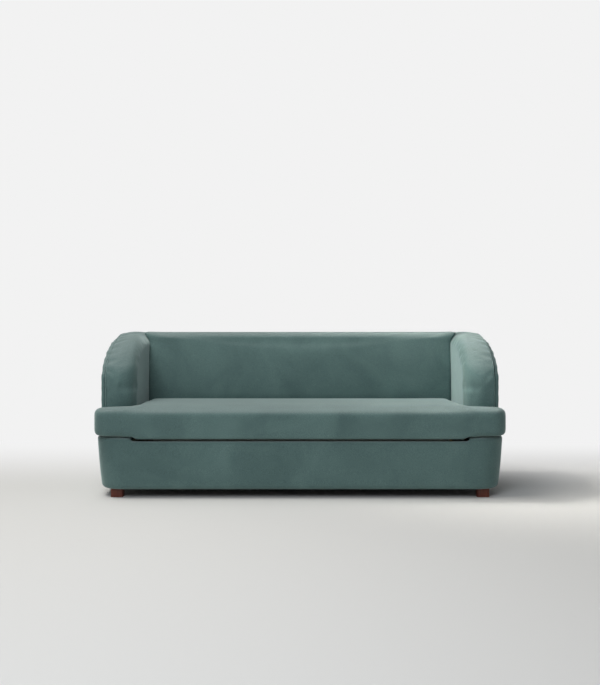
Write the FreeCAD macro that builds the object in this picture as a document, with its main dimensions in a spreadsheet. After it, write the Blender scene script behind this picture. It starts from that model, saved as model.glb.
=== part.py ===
"""Sofa bed with a T-shaped loose seat cushion over a bed that folds in three.

Units are millimetres. The front is towards -Y, up is +Z and the floor is z = 0.
"""
import FreeCAD
import Part
import math
import os
from FreeCAD import Vector

doc = FreeCAD.newDocument("SofaBed")

SIZES = [
    ("overall_width", 2170, "cushion width, the widest part"),
    ("overall_depth", 960, "cushion front to outside back"),
    ("back_height", 850, "top of the back and arms"),
    ("seat_depth", 650, "cushion front to the face of the back"),
    ("cushion_thickness", 136, "seat cushion at its edge"),
    ("cushion_crown", 12, "rise of the cushion at its middle"),
    ("cushion_edge", 26, "rounding of the cushion's edges"),
    ("cushion_overhang", 26, "cushion past the arms at each side"),
    ("base_overhang", 18, "base past the arms at each side"),
    ("base_setback", 20, "base front behind the cushion front"),
    ("side_taper", 24, "base sides drawn in at the floor"),
    ("front_taper", 8, "base front drawn in at the floor"),
    ("front_radius", 140, "base front corners in plan"),
    ("rear_radius", 180, "rear corners in plan"),
    ("cover_thickness", 24, "padded cover panels"),
    ("front_drop", 18, "front panel top below the base corners"),
    ("foot_height", 46, "feet"),
    ("foot_side", 66, "feet, square"),
    ("foot_rounding", 12, "feet corners"),
    ("arm_width", 174, "arm with its cover panel"),
    ("ear_depth", 140, "cushion front to arm front"),
    ("arm_rise", 590, "height where the arm front starts to curve"),
    ("arm_nose_radius", 150, "lower curve of the arm"),
    ("arm_sweep_radius", 520, "upper curve of the arm"),
    ("arm_roll", 60, "rounding of the arm's inner edge"),
    ("arm_board", 20, "timber board inside the arm"),
    ("recline", 75, "back face set back at the top"),
    ("back_pad_low", 440, "lower edge of the back pad"),
    ("panel_reveal", 12, "outside panels below the pads' top"),
    ("rail_thickness", 18, "timber rails and boards"),
    ("bed_tube", 20, "square tube of the bed sections"),
    ("mattress_thickness", 65, "foam of each section"),
    ("bed_ground", 16, "folded bed above the base's underside"),
    ("seat_gap", 2.4, "folded bed below the cushion"),
    ("fold_clearance", 28, "front rail to the front hinge"),
    ("bed_back_gap", 15, "rear hinge to the back's face"),
    ("head_extra", 140, "head section past the rear hinge"),
    ("mech_side", 60, "arm board to the bed's side tube"),
    ("link_length", 220, "lift links between pivots"),
    ("link_rest_angle", 20, "links below level when folded, degrees"),
    ("link_open_angle", 130, "links when open, degrees"),
    ("link_spacing", 270, "front links to rear links"),
    ("link_clear", 20, "open front pin to the front rail"),
    ("plate", 4, "steel plates"),
    ("fit", 0.4, "running clearance between steel pieces"),
]

sheet = doc.addObject("Spreadsheet::Sheet", "Sizes")
for row, (name, value, note) in enumerate(SIZES, start=1):
    sheet.set("A%d" % row, name)
    sheet.set("B%d" % row, str(value))
    sheet.set("C%d" % row, note)
    sheet.setAlias("B%d" % row, name)
doc.recompute()

PLACES = [
    ("half_w", "Sizes.overall_width / 2 - Sizes.cushion_overhang"),
    ("front_y", "-Sizes.overall_depth / 2"),
    ("rear_y", "Sizes.overall_depth / 2"),
    ("base_front", "Places.front_y + Sizes.base_setback"),
    ("base_low", "Sizes.foot_height"),
    ("arm_in", "Places.half_w - Sizes.arm_width"),
    ("arm_front", "Places.front_y + Sizes.ear_depth"),
    ("rail_out", "Places.base_front + Sizes.front_taper + Sizes.cover_thickness + 0.5"),
    ("rail_in", "Places.rail_out + Sizes.rail_thickness"),
    ("back_face", "Places.front_y + Sizes.seat_depth"),
    ("fold_y", "Places.rail_in + Sizes.fold_clearance"),
    ("turn_y", "Places.back_face - Sizes.bed_back_gap"),
    ("foot_end", "Places.rail_in + 12"),
    ("head_end", "Places.turn_y + Sizes.head_extra"),
    ("pitch", "Sizes.mattress_thickness + Sizes.bed_tube"),
    ("bed_floor", "Sizes.foot_height + Sizes.bed_ground"),
    ("fold_z", "Places.bed_floor + Places.pitch"),
    ("turn_z", "Places.fold_z + Places.pitch + 0.3"),
    ("stack_top", "Places.turn_z + 0.3 + Places.pitch"),
    ("base_top", "Places.stack_top + Sizes.seat_gap"),
    ("panel_top", "Places.base_top - Sizes.front_drop"),
    ("tube_x", "Places.arm_in - Sizes.mech_side"),
    ("mid_x", "Places.tube_x + Sizes.plate + Sizes.fit"),
    ("link_x", "Places.mid_x + Sizes.plate + 1.6"),
    ("web_x", "Places.link_x + 8"),
    ("mattress_x", "Places.tube_x - 35"),
    ("pin_z", "Places.bed_floor + 38"),
    ("pivot_z", "Places.pin_z + Sizes.link_length * sin(Sizes.link_rest_angle)"),
    ("pivot_y", "Places.rail_in + Sizes.link_clear - Sizes.link_length * cos(Sizes.link_open_angle)"),
    ("pin_y", "Places.pivot_y + Sizes.link_length * cos(Sizes.link_rest_angle)"),
    ("open_rise", "Sizes.link_length * (sin(Sizes.link_open_angle) + sin(Sizes.link_rest_angle))"),
    ("leg_len", "Places.bed_floor + Places.open_rise + Sizes.bed_tube / 2 - 2"),
]
places = doc.addObject("App::VarSet", "Places")
for name, rule in PLACES:
    places.addProperty("App::PropertyFloat", name, "Places", "")
    places.setExpression(name, rule)
doc.recompute()


def size(name):
    return float(sheet.get(name))


def at(name):
    return float(getattr(places, name))


def box(label, x, y, z):
    """A block between two expressions on each axis."""
    block = doc.addObject("Part::Box", label)
    for prop, pair, axis in (("Length", x, "x"), ("Width", y, "y"), ("Height", z, "z")):
        block.setExpression(prop, "(%s) - (%s)" % (pair[1], pair[0]))
        block.setExpression("Placement.Base." + axis, pair[0])
    return block


def rod(label, radius, x, y, z):
    """A round bar along X between two expressions."""
    bar = doc.addObject("Part::Cylinder", label)
    bar.Placement = FreeCAD.Placement(Vector(), FreeCAD.Rotation(Vector(0, 1, 0), 90))
    bar.setExpression("Radius", radius)
    bar.setExpression("Height", "(%s) - (%s)" % (x[1], x[0]))
    bar.setExpression("Placement.Base.x", x[0])
    bar.setExpression("Placement.Base.y", y)
    bar.setExpression("Placement.Base.z", z)
    return bar


def post(label, radius, x, y, z):
    """A round bar along Z between two expressions."""
    bar = doc.addObject("Part::Cylinder", label)
    bar.setExpression("Radius", radius)
    bar.setExpression("Height", "(%s) - (%s)" % (z[1], z[0]))
    bar.setExpression("Placement.Base.x", x)
    bar.setExpression("Placement.Base.y", y)
    bar.setExpression("Placement.Base.z", z[0])
    return bar


def mirror(label, source):
    twin = doc.addObject("Part::Mirroring", label)
    twin.Source = source
    twin.Normal = Vector(1, 0, 0)
    return twin


def group(label, members):
    many = doc.addObject("Part::Compound", label)
    many.Links = members
    return many


def cut(label, base, tool):
    cutting = doc.addObject("Part::Cut", label)
    cutting.Base = base
    cutting.Tool = tool
    return cutting


def join(label, members):
    fused = doc.addObject("Part::MultiFuse", label)
    fused.Shapes = members
    return fused


def formed(label, shape):
    piece = doc.addObject("Part::Feature", label)
    piece.Shape = shape
    return piece


def pair(label, source):
    """The right-hand piece and its mirrored twin as one sub-part."""
    return group(label, [source, mirror(label + "_twin", source)])


NODES = []


def node(label, thing):
    thing.Label = label
    NODES.append(thing)
    return thing


def span(half):
    return ("-(%s)" % half, half)


# plan outlines and side profiles shared by the base, the tub and the pads

def plan(half, front, rear, front_r, rear_r, z):
    """Closed outline with rounded front and rear corners."""
    d = math.sqrt(0.5)

    def corner(cx, cy, r, sx, sy, first_x):
        end_x = Vector(cx + sx * r, cy, z)
        end_y = Vector(cx, cy + sy * r, z)
        mid = Vector(cx + sx * r * d, cy + sy * r * d, z)
        ends = (end_x, end_y) if first_x else (end_y, end_x)
        return ends[0], mid, ends[1]

    arcs = [
        corner(half - front_r, front + front_r, front_r, 1, -1, False),
        corner(half - rear_r, rear - rear_r, rear_r, 1, 1, True),
        corner(rear_r - half, rear - rear_r, rear_r, -1, 1, False),
        corner(front_r - half, front + front_r, front_r, -1, -1, True),
    ]
    edges = []
    for i, arc in enumerate(arcs):
        edges.append(Part.Arc(*arc).toShape())
        edges.append(Part.makeLine(arc[2], arcs[(i + 1) % 4][0]))
    return Part.Wire(edges)


def slab(half, front, rear, front_r, rear_r, low, high):
    face = Part.Face(plan(half, front, rear, front_r, rear_r, low))
    return face.extrude(Vector(0, 0, high - low))


def block(x0, x1, y0, y1, z0, z1):
    return Part.makeBox(x1 - x0, y1 - y0, z1 - z0, Vector(x0, y0, z0))


def arm_profile(inset, low, rear, x0, x1):
    """The arm's side outline, drawn in by an inset, as a solid from x0 to x1."""
    front = at("arm_front") + inset
    top = size("back_height") - inset
    nose = size("arm_nose_radius") - inset
    sweep = size("arm_sweep_radius") - inset
    nose_y = front + nose
    nose_z = size("arm_rise")
    sweep_z = top - sweep
    sweep_y = nose_y + math.sqrt((sweep - nose) ** 2 - (nose_z - sweep_z) ** 2)
    meet = math.atan2(nose_z - sweep_z, nose_y - sweep_y)

    def on(cy, cz, r, angle):
        return Vector(x0, cy + r * math.cos(angle), cz + r * math.sin(angle))

    start = Vector(x0, front, nose_z)
    joint = on(nose_y, nose_z, nose, meet)
    crest = Vector(x0, sweep_y, top)
    nose_mid = on(nose_y, nose_z, nose, (math.pi + meet) / 2)
    sweep_mid = on(sweep_y, sweep_z, sweep, (meet + math.pi / 2) / 2)
    edges = [
        Part.makeLine(Vector(x0, front, low), start),
        Part.Arc(start, nose_mid, joint).toShape(),
        Part.Arc(joint, sweep_mid, crest).toShape(),
        Part.makeLine(crest, Vector(x0, rear, top)),
        Part.makeLine(Vector(x0, rear, top), Vector(x0, rear, low)),
        Part.makeLine(Vector(x0, rear, low), Vector(x0, front, low)),
    ]
    return Part.Face(Part.Wire(edges)).extrude(Vector(x1 - x0, 0, 0))


def soften(shape, radius, keep):
    """Rounds the edges whose middle point and box pass the test."""
    chosen = [edge for edge in shape.Edges if keep(edge.BoundBox)]
    return shape.makeFillet(radius, chosen)


half = at("half_w")
cover = size("cover_thickness")
low = at("base_low")
top = at("base_top")
arm_in = at("arm_in")
rear_y = at("rear_y")
base_front = at("base_front")
front_r = size("front_radius")
rear_r = size("rear_radius")

# base: four padded panels around a tapered box
taper = size("side_taper")
lean = size("front_taper")
base_half = half + size("base_overhang")


def base_solid(inset):
    lower = plan(base_half - taper - inset, base_front + lean + inset, rear_y - lean - inset,
                 front_r - 14 - inset, rear_r - 14 - inset, low)
    upper = plan(base_half - inset, base_front + inset, rear_y - inset,
                 front_r - inset, rear_r - inset, top)
    return Part.makeLoft([lower, upper], True, True)


outer = base_solid(0)
outer = soften(outer, 20, lambda b: b.ZMax < low + 0.1)
outer = soften(outer, 12, lambda b: b.ZMin > top - 0.1)
shell = outer.cut(base_solid(cover))
rear_split = half - rear_r - 15
face_panel = shell.common(block(1.5 - arm_in, arm_in - 1.5, -900, 0, 0, at("panel_top")))
face_panel = soften(face_panel, 8, lambda b: b.ZMin > at("panel_top") - 0.1 and b.YMax < base_front + 4)
node("base_front_panel", formed("base_front_panel", face_panel))
side = shell.common(block(arm_in + 0.5, 2000, -900, 0, 0, 900))
side = side.fuse(shell.common(block(rear_split, 2000, 0, 900, 0, 900))).removeSplitter()
right_side = node("base_side_right", formed("base_side_right", side))
node("base_side_left", mirror("base_side_left", right_side))
node("base_back", formed("base_back", shell.common(block(0.5 - rear_split, rear_split - 0.5, 0, 900, 0, 900))))

# feet, corner blocks and bolts
FEET = [("front", 1, "-(Places.rear_y - 105)", "Places.half_w - 94"),
        ("rear", 1, "Places.rear_y - 118", "Places.half_w - 114")]
bolts = []
blocks = []
for where, _, fy, fx in FEET:
    s = "Sizes.foot_side / 2"
    body = doc.addObject("PartDesign::Body", where + "_foot_body")
    pad = body.newObject("PartDesign::AdditiveBox", where + "_foot_block")
    pad.setExpression("Length", "Sizes.foot_side")
    pad.setExpression("Width", "Sizes.foot_side")
    pad.setExpression("Height", "Sizes.foot_height - 0.2")
    pad.setExpression("Placement.Base.x", "%s - %s" % (fx, s))
    pad.setExpression("Placement.Base.y", "%s - %s" % (fy, s))
    doc.recompute()
    upright = ["Edge%d" % (i + 1) for i, e in enumerate(pad.Shape.Edges)
               if e.BoundBox.ZLength > e.BoundBox.XLength + e.BoundBox.YLength]
    round_off = body.newObject("PartDesign::Fillet", where + "_foot_rounding")
    round_off.Base = (pad, upright)
    round_off.setExpression("Radius", "Sizes.foot_rounding")
    bore = body.newObject("PartDesign::SubtractiveCylinder", where + "_foot_bore")
    bore.setExpression("Radius", "4.1")
    bore.setExpression("Height", "30")
    bore.setExpression("Placement.Base.x", fx)
    bore.setExpression("Placement.Base.y", fy)
    bore.setExpression("Placement.Base.z", "Sizes.foot_height - 26")
    node(where + "_feet", pair(where + "_feet", body))
    bolt = post(where + "_bolt", "4", fx, fy, ("Sizes.foot_height - 25", "Sizes.foot_height + 38"))
    bolts += [bolt, mirror(where + "_bolt_twin", bolt)]
    inner = "Places.arm_in + Sizes.rail_thickness + 2"
    raw = box(where + "_block_raw", (inner, fx + " + 6"), (fy + " - 16", fy + " + 20"),
              ("Places.base_low + 2", "Places.base_low + 42"))
    hole = post(where + "_block_hole", "4.1", fx, fy, ("Places.base_low", "Places.base_low + 60"))
    drilled = cut(where + "_block", raw, hole)
    blocks += [drilled, mirror(where + "_block_twin", drilled)]
node("foot_bolts", group("foot_bolts", bolts))
node("corner_blocks", group("corner_blocks", blocks))

# timber of the base
node("front_rail", box("front_rail", span("Places.arm_in - 1"), ("Places.rail_out", "Places.rail_in"),
                       ("Places.base_low + 2", "Places.panel_top - 30")))
node("rear_rail", box("rear_rail", span("Places.half_w - Sizes.rear_radius - 20"),
                      ("Places.rear_y - Sizes.front_taper - Sizes.cover_thickness - 0.5 - Sizes.rail_thickness",
                       "Places.rear_y - Sizes.front_taper - Sizes.cover_thickness - 0.5"),
                      ("Places.base_low + 2", "Places.base_top - 1")))
board = box("arm_inner_board_right", ("Places.arm_in", "Places.arm_in + Sizes.rail_thickness"),
            ("Places.rail_out + 1", "Places.rear_y - 100"), ("Places.base_low + 2", "Places.base_top - 22"))
node("arm_inner_board_right", board)
node("arm_inner_board_left", mirror("arm_inner_board_left", board))
core = base_solid(cover + 0.6)
ledge = core.common(block(arm_in, 2000, -900, rear_y - 60, top - 21, top))
ledge_right = node("arm_ledge_right", formed("arm_ledge_right", ledge))
node("arm_ledge_left", mirror("arm_ledge_left", ledge_right))
sheet_solid = core.common(block(-2000, 2000, -900, 900, low, low + 1.4))
for where, _, fy, fx in FEET:
    away = (105 if where == "front" else 118, 94 if where == "front" else 114)
    sign = -1 if where == "front" else 1
    for hand in (1, -1):
        hole = Part.makeCylinder(5, 10, Vector(hand * (half - away[1]), sign * (rear_y - away[0]), low - 4))
        sheet_solid = sheet_solid.cut(hole)
node("dust_cover", formed("dust_cover", sheet_solid))

# tub: outside panels, arm boards and pads
reveal = size("panel_reveal")
ring = slab(half, -900, rear_y, 60, rear_r, top + 0.5, 1200)
ring = ring.cut(slab(half - cover, -950, rear_y - cover, 60, rear_r - cover, top, 1300))
walls = ring.common(arm_profile(reveal, top + 0.5, 900, -2000, 2000))
wall = walls.common(block(rear_split, 2000, -900, 900, 0, 2000))
wall = soften(wall, 9, lambda b: b.XMax > half - 0.1 and b.XLength < 0.1 and b.ZMax > top + 5 and b.YMin < 200
              and not (b.YLength < 0.1 and b.YMin > -300))
wall_right = node("outside_arm_right", formed("outside_arm_right", wall))
node("outside_arm_left", mirror("outside_arm_left", wall_right))
node("outside_back", formed("outside_back", walls.common(
    block(0.5 - rear_split, rear_split - 0.5, 0, 900, 0, 2000))))

pad_out = half - cover - 0.5
pad_rear = rear_y - cover - 0.5
board_t = size("arm_board")
arm = arm_profile(0, top + 0.5, pad_rear, arm_in, pad_out)
roll = size("arm_roll")
arm = soften(arm, roll, lambda b: b.XMax < arm_in + 0.1 and b.ZMax > top + 5 and b.YMin < pad_rear - 5)
arm = soften(arm, 11, lambda b: b.XMin > pad_out - 0.1 and b.ZMax > top + 5 and b.YMin < pad_rear - 5)
arm = arm.common(slab(pad_out, -900, pad_rear, 60, rear_r - cover - 0.5, top, 1300))
slot = arm_profile(44, top, pad_rear - rear_r, pad_out - board_t - 1, pad_out + 5)
arm = arm.cut(slot)
arm_right = node("arm_pad_right", formed("arm_pad_right", arm))
node("arm_pad_left", mirror("arm_pad_left", arm_right))
arm_core = arm_profile(45, top + 1, pad_rear - rear_r - 2, pad_out - board_t, pad_out)
core_right = node("arm_board_right", formed("arm_board_right", arm_core))
node("arm_board_left", mirror("arm_board_left", core_right))

# back: posts, rails, webbing and the tight pad
frame_y = "Places.rear_y - Sizes.cover_thickness - 1"
node("back_top_rail", box("back_top_rail", span("Places.arm_in - 3"), (frame_y + " - 44", frame_y),
                          ("Sizes.back_height - 88", "Sizes.back_height - 48")))
node("back_lower_rail", box("back_lower_rail", span("Places.arm_in - 3"), (frame_y + " - 44", frame_y),
                            ("Sizes.back_pad_low + 10", "Sizes.back_pad_low + 50")))
posts = []
for i in (-3, -1, 1, 3):
    mid = "%d * (Places.arm_in - 40) / 3" % i
    posts.append(box("upper_post_%d" % (i + 3), (mid + " - 22", mid + " + 22"), (frame_y + " - 44", frame_y),
                     ("Sizes.back_pad_low + 50", "Sizes.back_height - 88")))
    posts.append(box("lower_post_%d" % (i + 3), (mid + " - 22", mid + " + 22"), (frame_y + " - 44", frame_y),
                     ("Places.base_top + 0.5", "Sizes.back_pad_low + 10")))
node("back_posts", group("back_posts", posts))
straps = []
for i in range(-4, 5):
    mid = "%d * Places.arm_in / 4.8" % i
    straps.append(box("strap_%d" % (i + 4), (mid + " - 30", mid + " + 30"), (frame_y + " - 47", frame_y + " - 44.2"),
                      ("Sizes.back_pad_low + 12", "Sizes.back_height - 52")))
node("back_webbing", group("back_webbing", straps))

tall = size("back_height")
pad_low = size("back_pad_low")
face_y = at("back_face")
frame_front = rear_y - cover - 1 - 48
back_x = arm_in - 0.6


def lean_at(z):
    return face_y + size("recline") * (z - pad_low) / (tall - pad_low)


def yz(y, z):
    return Vector(-back_x, y, z)


# the face is gently full, then rolls over the top
top_r = 34
face_top = yz(lean_at(tall - top_r - 6), tall - top_r - 6)
face_mid = yz(lean_at((pad_low + tall) / 2) - 12, (pad_low + tall) / 2)
roll_mid = yz(face_top.y + 9, tall - 9)
crest = yz(face_top.y + top_r, tall)
edges = [
    Part.Arc(yz(face_y + 12, pad_low), face_mid, face_top).toShape(),
    Part.Arc(face_top, roll_mid, crest).toShape(),
    Part.makeLine(crest, yz(pad_rear - 16, tall)),
    Part.Arc(yz(pad_rear - 16, tall), yz(pad_rear - 5, tall - 5), yz(pad_rear, tall - 16)).toShape(),
    Part.makeLine(yz(pad_rear, tall - 16), yz(pad_rear, tall - 47)),
    Part.makeLine(yz(pad_rear, tall - 47), yz(frame_front, tall - 47)),
    Part.makeLine(yz(frame_front, tall - 47), yz(frame_front, pad_low)),
    Part.makeLine(yz(frame_front, pad_low), yz(face_y + 12, pad_low)),
]
back = Part.Face(Part.Wire(edges)).extrude(Vector(2 * back_x, 0, 0))
node("back_pad", formed("back_pad", back))

# seat cushion: T outline, crowned top, rounded edges
seat_low = top + 0.4
ear_x = size("overall_width") / 2
nose_y = at("front_y")
ear_rear = at("arm_front") - 3
neck_x = arm_in - 3
seat_rear = face_y - 4
thick = size("cushion_thickness")
crown = size("cushion_crown")
edge_r = size("cushion_edge")
pull = 5
CORNERS = [
    (ear_x, nose_y, 90), (ear_x, ear_rear, 40), (neck_x, ear_rear, 30), (neck_x, seat_rear, 60),
    (-neck_x, seat_rear, 60), (-neck_x, ear_rear, 30), (-ear_x, ear_rear, 40), (-ear_x, nose_y, 90),
]


def t_outline(z):
    count = len(CORNERS)
    arcs = []
    for i, (cx, cy, r) in enumerate(CORNERS):
        here = Vector(cx, cy, z)
        back_to = (Vector(CORNERS[i - 1][0], CORNERS[i - 1][1], z) - here).normalize()
        on_to = (Vector(CORNERS[(i + 1) % count][0], CORNERS[(i + 1) % count][1], z) - here).normalize()
        centre = here + (back_to + on_to) * r
        inward = (here - centre).normalize()
        arcs.append((here + back_to * r, centre + inward * r, here + on_to * r))
    edges = []
    for i, arc in enumerate(arcs):
        edges.append(Part.Arc(*arc).toShape())
        a = arc[2]
        b = arcs[(i + 1) % count][0]
        if i == count - 1:
            # the long front side is drawn in between its corners
            edges.append(Part.Arc(a, (a + b) * 0.5 + Vector(0, pull, 0), b).toShape())
        else:
            edges.append(Part.makeLine(a, b))
    return Part.Wire(edges)


tee = Part.Face(t_outline(seat_low)).extrude(Vector(0, 0, thick + 80))
arch = [
    Part.makeLine(Vector(-2000, seat_rear + 40, seat_low), Vector(-2000, nose_y - 40, seat_low)),
    Part.makeLine(Vector(-2000, nose_y - 40, seat_low), Vector(-2000, nose_y - 40, seat_low + thick)),
    Part.Arc(Vector(-2000, nose_y - 40, seat_low + thick),
             Vector(-2000, (nose_y + seat_rear) / 2, seat_low + thick + crown),
             Vector(-2000, seat_rear + 40, seat_low + thick)).toShape(),
    Part.makeLine(Vector(-2000, seat_rear + 40, seat_low + thick), Vector(-2000, seat_rear + 40, seat_low)),
]
vault = Part.Face(Part.Wire(arch)).extrude(Vector(4000, 0, 0))
seat = tee.common(vault)
seat = soften(seat, edge_r, lambda b: b.ZMin > seat_low + thick - 10)
seat = soften(seat, edge_r - 4, lambda b: b.ZMax < seat_low + 0.1)
# the foam is two blocks glued along the line of the ears, so that each is plainly convex beside the arms
ear_block = formed("seat_ear_block", seat.common(block(-2000, 2000, -2000, ear_rear, 0, 2000)))
neck_block = formed("seat_neck_block", seat.common(block(-neck_x, neck_x, ear_rear, 2000, 0, 2000)))
node("seat_cushion", group("seat_cushion", [ear_block, neck_block]))

# mechanism: side channels on the inner arm boards, studs and lift links
web = ("Places.web_x", "Places.web_x + 3")
run = ("Places.pivot_y - 60", "Places.pivot_y + Sizes.link_spacing + 120")
tall_web = ("Places.pivot_z - 62", "Places.pivot_z + 30")
channel = join("channel_solid", [
    box("web_right", web, run, tall_web),
    box("top_flange", ("Places.web_x", "Places.arm_in - 0.2"), run, ("Places.pivot_z + 27", "Places.pivot_z + 30")),
    box("low_flange", ("Places.web_x", "Places.arm_in - 0.2"), run, ("Places.pivot_z - 62", "Places.pivot_z - 59")),
])
rear_pivot = "Places.pivot_y + Sizes.link_spacing"
rear_pin = "Places.pin_y + Sizes.link_spacing"
channel_holes = group("channel_holes", [
    rod("front_web_hole", "6.1", ("Places.web_x - 2", "Places.web_x + 8"), "Places.pivot_y", "Places.pivot_z"),
    rod("rear_web_hole", "6.1", ("Places.web_x - 2", "Places.web_x + 8"), rear_pivot, "Places.pivot_z"),
])
channel_right = node("channel_right", cut("side_channel_right", channel, channel_holes))
node("channel_left", mirror("channel_left", channel_right))
studs = []
for tag, y in (("front", "Places.pivot_y"), ("rear", rear_pivot)):
    stud = rod(tag + "_stud_bar", "6", ("Places.link_x - 1.2", "Places.web_x + 3"), y, "Places.pivot_z")
    nut = rod(tag + "_stud_nut", "11", ("Places.web_x + 3", "Places.web_x + 11"), y, "Places.pivot_z")
    whole = join(tag + "_stud", [stud, nut])
    studs += [whole, mirror(tag + "_stud_twin", whole)]
node("pivot_studs", group("pivot_studs", studs))


def link(label, y, pin):
    """A flat bar with round ends between its fixed pivot and the pin on the bed."""
    x = ("Places.link_x", "Places.link_x + 5")
    bar = doc.addObject("Part::Box", label + "_bar")
    bar.setExpression("Length", "5")
    bar.setExpression("Width", "Sizes.link_length")
    bar.setExpression("Height", "28")
    bar.setExpression("Placement.Base.x", "Places.link_x")
    bar.setExpression("Placement.Base.y", "%s - 14 * sin(Sizes.link_rest_angle)" % y)
    bar.setExpression("Placement.Base.z", "Places.pivot_z - 14 * cos(Sizes.link_rest_angle)")
    bar.setExpression("Placement.Rotation.Axis.x", "1")
    bar.setExpression("Placement.Rotation.Axis.y", "0")
    bar.setExpression("Placement.Rotation.Axis.z", "0")
    bar.setExpression("Placement.Rotation.Angle", "-Sizes.link_rest_angle")
    solid = join(label + "_solid", [
        bar,
        rod(label + "_fixed_eye", "14", x, y, "Places.pivot_z"),
        rod(label + "_free_eye", "14", x, pin, "Places.pin_z"),
    ])
    holes = group(label + "_holes", [
        rod(label + "_fixed_hole", "6.2", ("Places.link_x - 2", "Places.link_x + 8"), y, "Places.pivot_z"),
        rod(label + "_free_hole", "6.2", ("Places.link_x - 2", "Places.link_x + 8"), pin, "Places.pin_z"),
    ])
    return cut(label, solid, holes)


node("front_links", pair("front_links", link("front_link", "Places.pivot_y", "Places.pin_y")))
node("rear_links", pair("rear_links", link("rear_link", rear_pivot, rear_pin)))


# bed sections
def section(tag, y, tube_low, outer_x, slat_low, count, foam, foam_y):
    """Side rails, cross tubes, slats and mattress of one section between two ends."""
    z = (tube_low, tube_low + " + Sizes.bed_tube")
    rail = box(tag + "_rail", (outer_x + " - Sizes.bed_tube", outer_x), y, z)
    node(tag + "_side_rails", pair(tag + "_side_rails", rail))
    inner = span(outer_x + " - Sizes.bed_tube")
    tubes = [
        box(tag + "_tube_near", inner, (y[0], y[0] + " + Sizes.bed_tube"), z),
        box(tag + "_tube_far", inner, (y[1] + " - Sizes.bed_tube", y[1]), z),
    ]
    node(tag + "_cross_tubes", group(tag + "_cross_tubes", tubes))
    slats = []
    for i in range(count):
        mid = "(%s) + ((%s) - (%s)) * %d / %d" % (y[0], y[1], y[0], i + 1, count + 1)
        slats.append(box("%s_slat_%d" % (tag, i), inner, (mid + " - 28", mid + " + 28"), (slat_low, slat_low + " + 8")))
    node(tag + "_slats", group(tag + "_slats", slats))
    doc.recompute()
    mass = block(-at("mattress_x"), at("mattress_x"), foam_y[0], foam_y[1], foam[0], foam[1])
    node(tag + "_mattress", formed(tag + "_mattress", mass.makeFillet(14, mass.Edges)))


fold_y = at("fold_y")
turn_y = at("turn_y")
tube = size("bed_tube")
foam_t = size("mattress_thickness")
section("head", ("Places.fold_y + 22", "Places.head_end"), "Places.bed_floor", "Places.tube_x",
        "Places.bed_floor + Sizes.bed_tube - 8", 6,
        (at("bed_floor") + tube, at("fold_z") - 0.3), (fold_y + 1, at("head_end")))
section("middle", ("Places.fold_y + 22", "Places.turn_y - 22"), "Places.fold_z + Sizes.mattress_thickness",
        "Places.mid_x", "Places.fold_z + Sizes.mattress_thickness", 5,
        (at("fold_z") + 0.3, at("fold_z") + foam_t), (fold_y + 1, turn_y - 1))
section("foot", ("Places.foot_end", "Places.turn_y - 22"), "Places.turn_z + 0.3", "Places.tube_x",
        "Places.turn_z + 0.3 + Sizes.bed_tube - 8", 5,
        (at("turn_z") + 0.3 + tube, at("stack_top")), (at("foot_end"), turn_y - 1))


# hinge plates: each lies outside its own side rail and reaches its axis
def plate_of(label, outer_x, y, z, tail_y, tail_z, strut=None):
    x = (outer_x, outer_x + " + Sizes.plate")
    members = [rod(label + "_eye", "13", x, y, z), box(label + "_tail", x, tail_y, tail_z)]
    if strut:
        members.append(strut)
    solid = join(label + "_solid", members)
    hole = rod(label + "_hole", "5.1", (outer_x + " - 2", outer_x + " + 8"), y, z)
    return cut(label, solid, hole)


def slant(label, x0, foot_near, foot_far):
    """The slanting part of a fold plate, from its eye to its tail: clear of the front rail as the bed lifts."""
    y, z = at("fold_y"), at("fold_z")
    corners = [Vector(x0, y - 13, z), Vector(x0, *foot_near), Vector(x0, *foot_far), Vector(x0, y + 13, z)]
    return formed(label, Part.Face(Part.makePolygon(corners + corners[:1])).extrude(Vector(size("plate"), 0, 0)))


F = "Places.fold_y"
T = "Places.turn_y"
head_slant = slant("head_plate_slant", at("tube_x"), (fold_y + 22, at("bed_floor")),
                   (fold_y + 48, at("bed_floor") + size("bed_tube")))
head_hinge = plate_of("head_hinge", "Places.tube_x", F, "Places.fold_z", (F + " + 22", F + " + 80"),
                      ("Places.bed_floor", "Places.bed_floor + Sizes.bed_tube"), head_slant)
head_lug_f = plate_of("head_lug_front", "Places.tube_x", "Places.pin_y", "Places.pin_z",
                      ("Places.pin_y - 13", "Places.pin_y + 13"), ("Places.bed_floor", "Places.pin_z - 5.2"))
head_lug_r = plate_of("head_lug_rear", "Places.tube_x", rear_pin, "Places.pin_z",
                      (rear_pin + " - 13", rear_pin + " + 13"), ("Places.bed_floor", "Places.pin_z - 5.2"))
right_plates = [head_hinge, head_lug_f, head_lug_r]
node("head_plates", group("head_plates", right_plates + [mirror(p.Name + "_twin", p) for p in right_plates]))

mid_slant = slant("middle_plate_slant", at("mid_x"), (fold_y + 22, at("fold_z") + at("pitch")),
                  (fold_y + 48, at("fold_z") + size("mattress_thickness")))
mid_hinge = plate_of("middle_hinge", "Places.mid_x", F, "Places.fold_z", (F + " + 22", F + " + 80"),
                     ("Places.fold_z + Sizes.mattress_thickness", "Places.fold_z + Places.pitch"), mid_slant)
mid_rear = plate_of("middle_plate_rear", "Places.mid_x", T, "Places.turn_z", (T + " - 80", T + " - 5.2"),
                    ("Places.fold_z + Sizes.mattress_thickness", "Places.fold_z + Places.pitch"))
mid_right = [mid_hinge, mid_rear]
node("middle_plates", group("middle_plates", mid_right + [mirror(p.Name + "_twin", p) for p in mid_right]))

foot_plate = plate_of("foot_plate", "Places.tube_x", T, "Places.turn_z", (T + " - 80", T + " - 5.2"),
                      ("Places.turn_z + 0.3", "Places.turn_z + 0.3 + Sizes.bed_tube"))
node("foot_plates", pair("foot_plates", foot_plate))


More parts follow.
